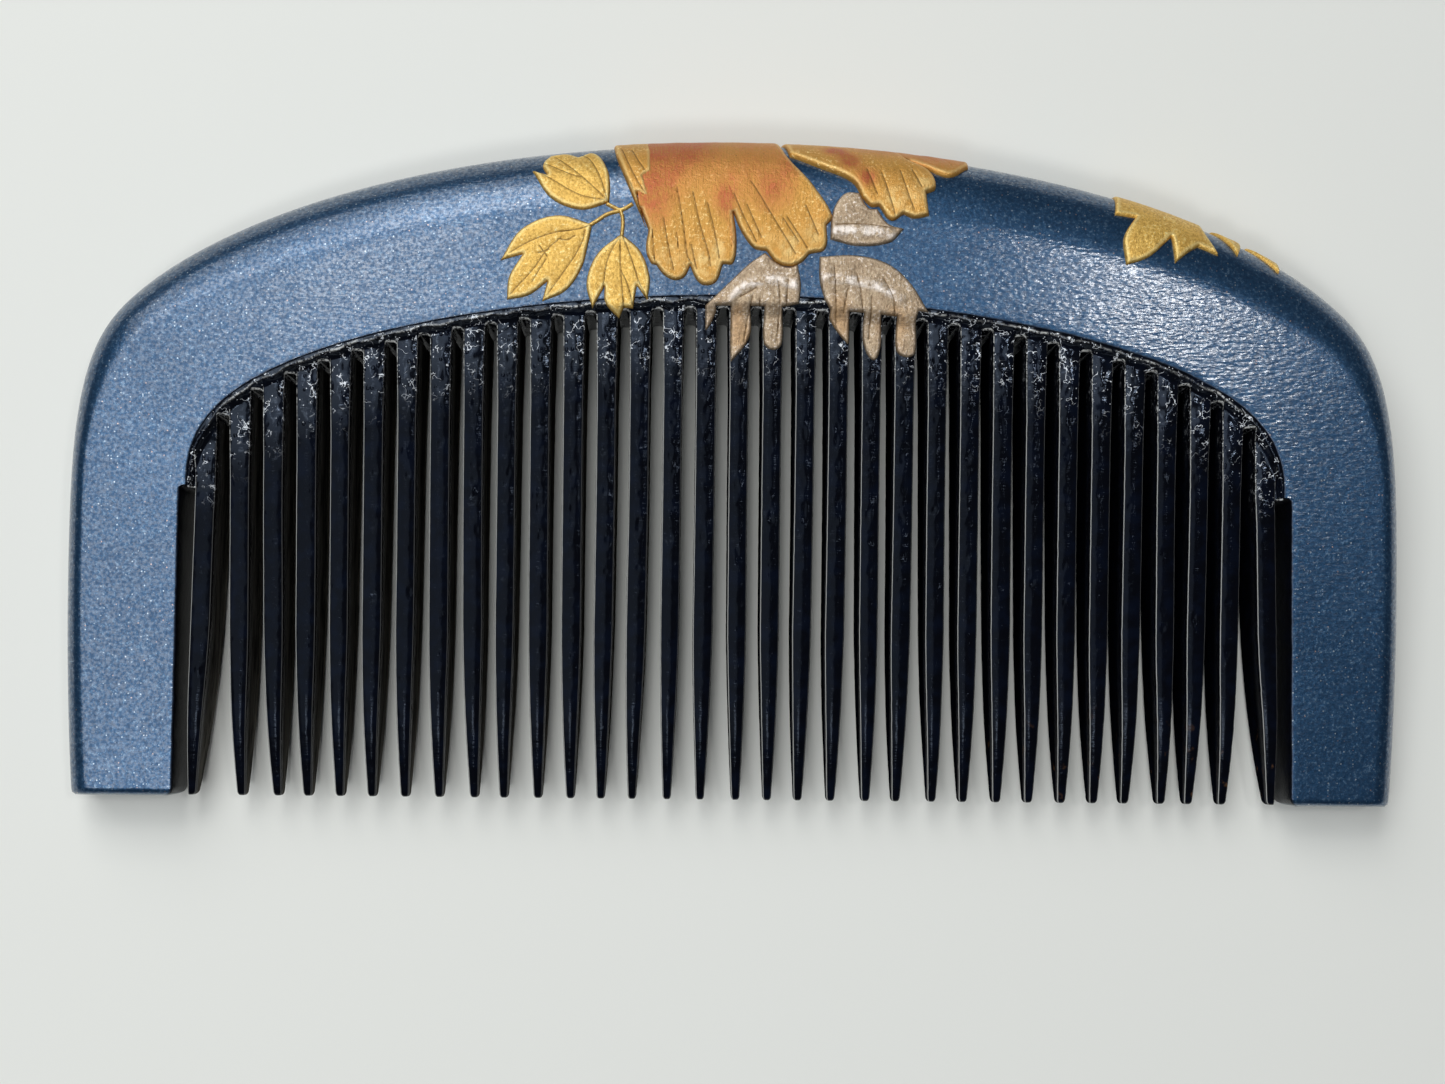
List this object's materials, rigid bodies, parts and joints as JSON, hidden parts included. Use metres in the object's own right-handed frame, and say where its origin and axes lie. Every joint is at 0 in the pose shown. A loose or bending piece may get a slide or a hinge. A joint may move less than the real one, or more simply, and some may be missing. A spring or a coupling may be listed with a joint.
{
  "type": "decorative hair comb",
  "caption": "Half-moon lacquered wooden hair comb with broad end guards, slim tapered teeth, a rounded crown and raised leaf and petal ornament.",
  "frame": {"origin": "middle of the comb's length and height, on the plane of its flat back, which it lies on", "axes": "+X along the comb's length, +Y from the tips of the teeth to the crown, +Z out of the decorated face"},
  "size_m": [0.0994, 0.0494, 0.0094],
  "materials": {
    "blue_lacquer": "satin blue lacquer with fine silver flecks over wood",
    "black_lacquer": "glossy black lacquer over wood",
    "gold_powder": "raised lacquer covered in burnished gold powder",
    "copper_gold_powder": "raised lacquer covered in red copper and gold powder",
    "silver_powder": "raised lacquer covered in dull silver and copper powder"
  },
  "bodies": {
    "root": {"black_web": "black_lacquer", "blue_frame": "blue_lacquer", "gold_leaf_left": "gold_powder", "gold_leaf_lower": "gold_powder", "gold_leaf_upper": "gold_powder", "petal_edge": "copper_gold_powder", "petal_far": "copper_gold_powder", "petal_left": "copper_gold_powder", "petal_narrow": "copper_gold_powder", "petal_right": "copper_gold_powder", "shoulder_leaf_edge": "gold_powder", "shoulder_leaf_main": "gold_powder", "shoulder_leaf_tip": "gold_powder", "silver_leaf_back": "silver_powder", "silver_leaf_left": "silver_powder", "silver_leaf_right": "silver_powder", "stem_left": "gold_powder", "stem_lower": "gold_powder", "stem_upper": "gold_powder", "tooth_01": "black_lacquer", "tooth_02": "black_lacquer", "tooth_03": "black_lacquer", "tooth_04": "black_lacquer", "tooth_05": "black_lacquer", "tooth_06": "black_lacquer", "tooth_07": "black_lacquer", "tooth_08": "black_lacquer", "tooth_09": "black_lacquer", "tooth_10": "black_lacquer", "tooth_11": "black_lacquer", "tooth_12": "black_lacquer", "tooth_13": "black_lacquer", "tooth_14": "black_lacquer", "tooth_15": "black_lacquer", "tooth_16": "black_lacquer", "tooth_17": "black_lacquer", "tooth_18": "black_lacquer", "tooth_19": "black_lacquer", "tooth_20": "black_lacquer", "tooth_21": "black_lacquer", "tooth_22": "black_lacquer", "tooth_23": "black_lacquer", "tooth_24": "black_lacquer", "tooth_25": "black_lacquer", "tooth_26": "black_lacquer", "tooth_27": "black_lacquer", "tooth_28": "black_lacquer", "tooth_29": "black_lacquer", "tooth_30": "black_lacquer", "tooth_31": "black_lacquer", "tooth_32": "black_lacquer", "tooth_33": "black_lacquer"}
  },
  "joints": []
}
